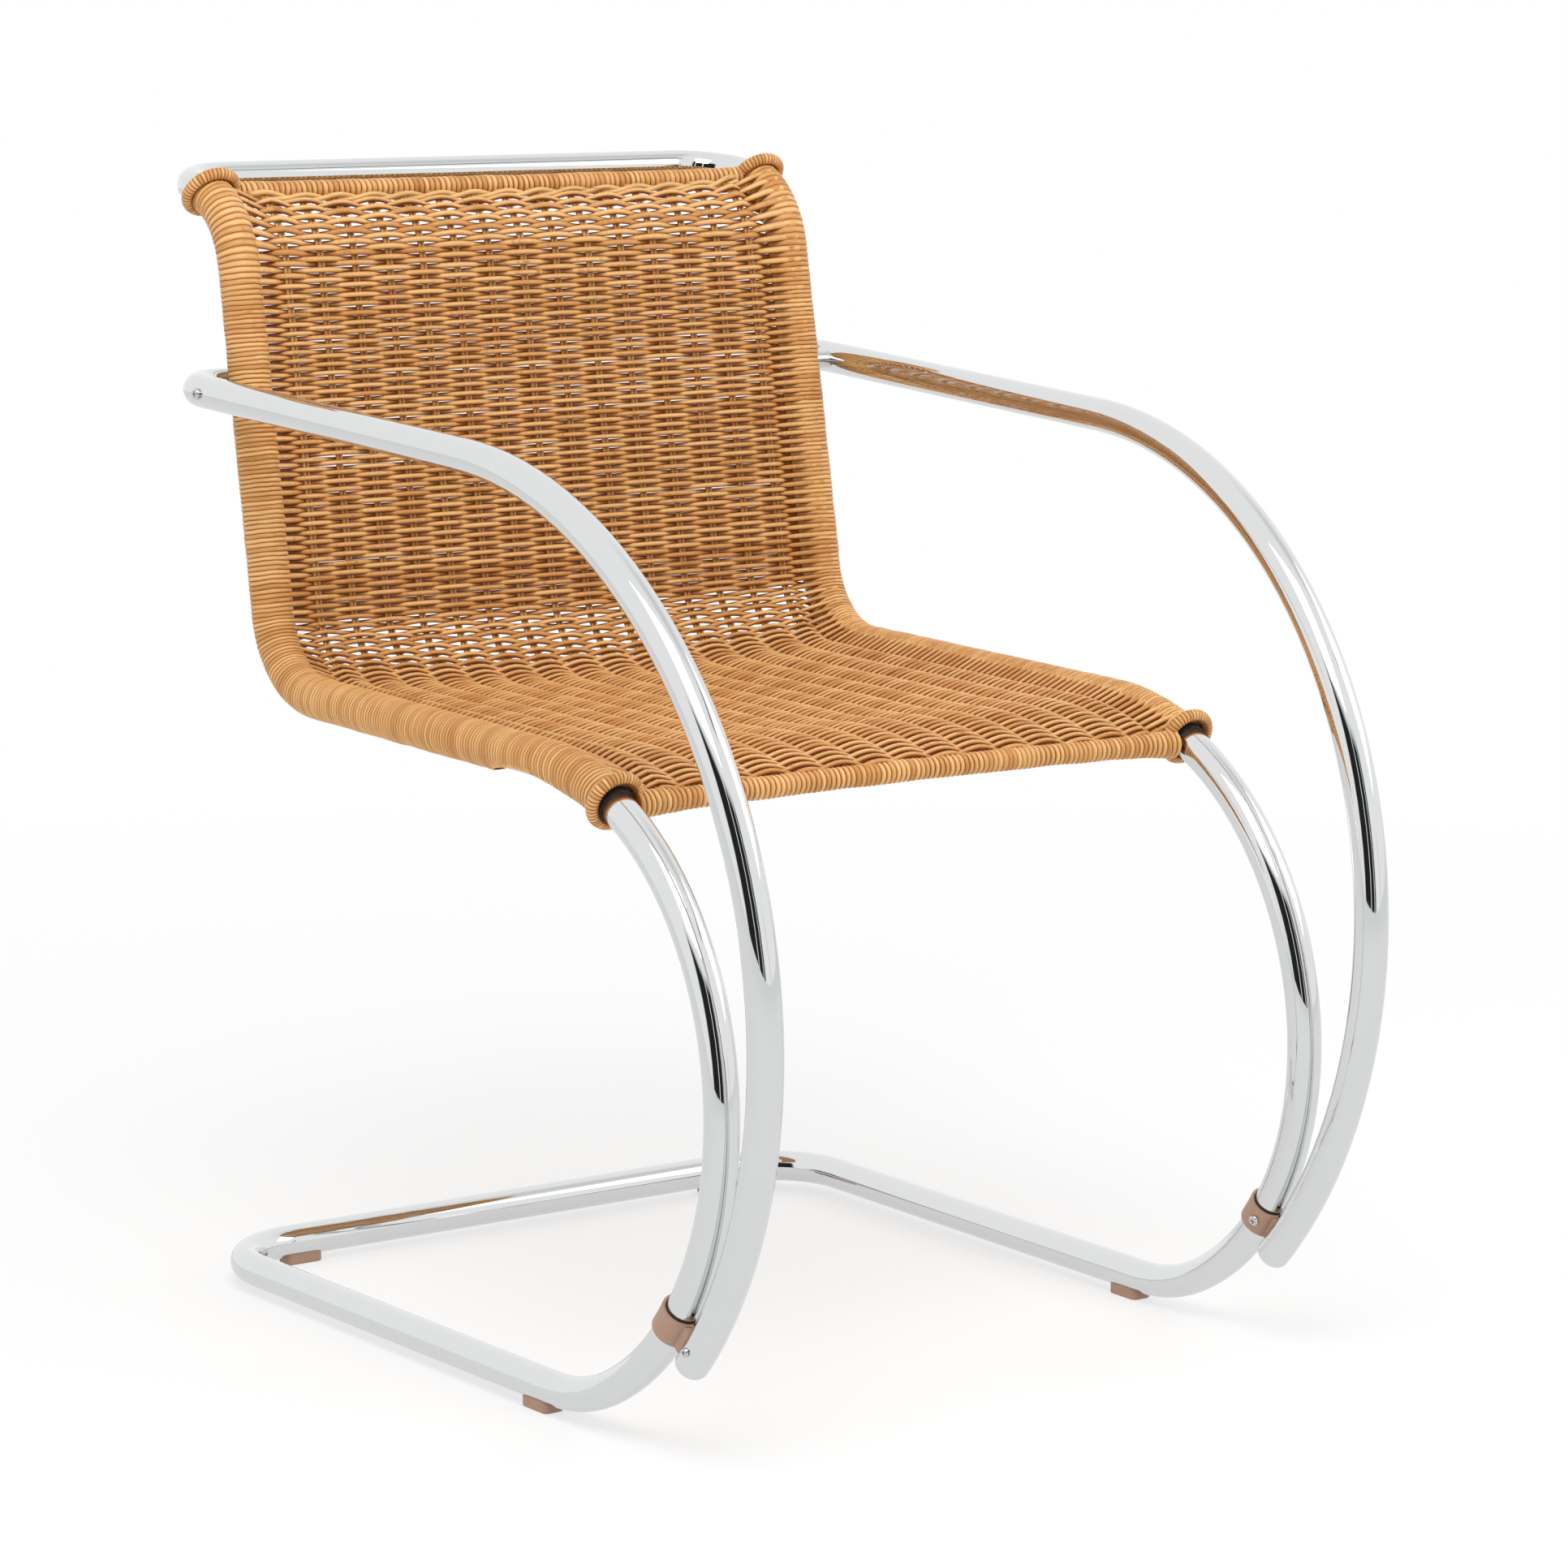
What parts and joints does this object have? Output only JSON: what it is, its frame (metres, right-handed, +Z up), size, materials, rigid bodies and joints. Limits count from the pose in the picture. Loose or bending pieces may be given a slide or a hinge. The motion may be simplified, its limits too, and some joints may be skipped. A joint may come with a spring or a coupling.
{
  "type": "cantilever armchair",
  "caption": "Springy cantilever armchair of bent chromed tube with round-nosed arms and a woven cane seat and back wrapped onto the side tubes.",
  "frame": {"origin": "on the floor, under the middle of the overall box", "axes": "+Z up, the sitter faces -Y, left is -X as seen from the front"},
  "size_m": [0.5878, 0.8028, 0.8319],
  "materials": {
    "chromed_tube": "bright polished chrome plate on steel tube",
    "screw_steel": "polished screw heads and spacers",
    "splice_steel": "plain steel plugs inside the tube",
    "tan_plastic": "satin tan moulded plastic",
    "black_rubber": "matt black rubber",
    "wrapped_cane": "satin honey-coloured cane, wound close",
    "woven_cane": "satin honey-coloured cane, woven over paired stakes"
  },
  "bodies": {
    "root": {"frame_left": "chromed_tube", "frame_right": "chromed_tube", "arm_left": "chromed_tube", "arm_right": "chromed_tube", "arm_saddle_left": "tan_plastic", "arm_saddle_right": "tan_plastic", "glide_rear_left": "tan_plastic", "glide_rear_right": "tan_plastic", "glide_front_left": "tan_plastic", "glide_front_right": "tan_plastic", "side_wrap_left": "wrapped_cane", "side_wrap_right": "wrapped_cane", "arm_foot_caps": "chromed_tube", "arm_rear_caps": "chromed_tube", "saddle_liners": "black_rubber", "saddle_screws": "screw_steel", "arm_pin_screws": "screw_steel", "arm_rear_screws": "screw_steel", "arm_spacers": "screw_steel", "front_rings": "wrapped_cane", "top_rings": "wrapped_cane", "floor_bar_splice": "splice_steel", "top_bar_splice": "splice_steel", "woven_panel": "woven_cane", "front_border": "wrapped_cane", "top_border": "wrapped_cane", "top_pairing": "woven_cane"}
  },
  "joints": []
}
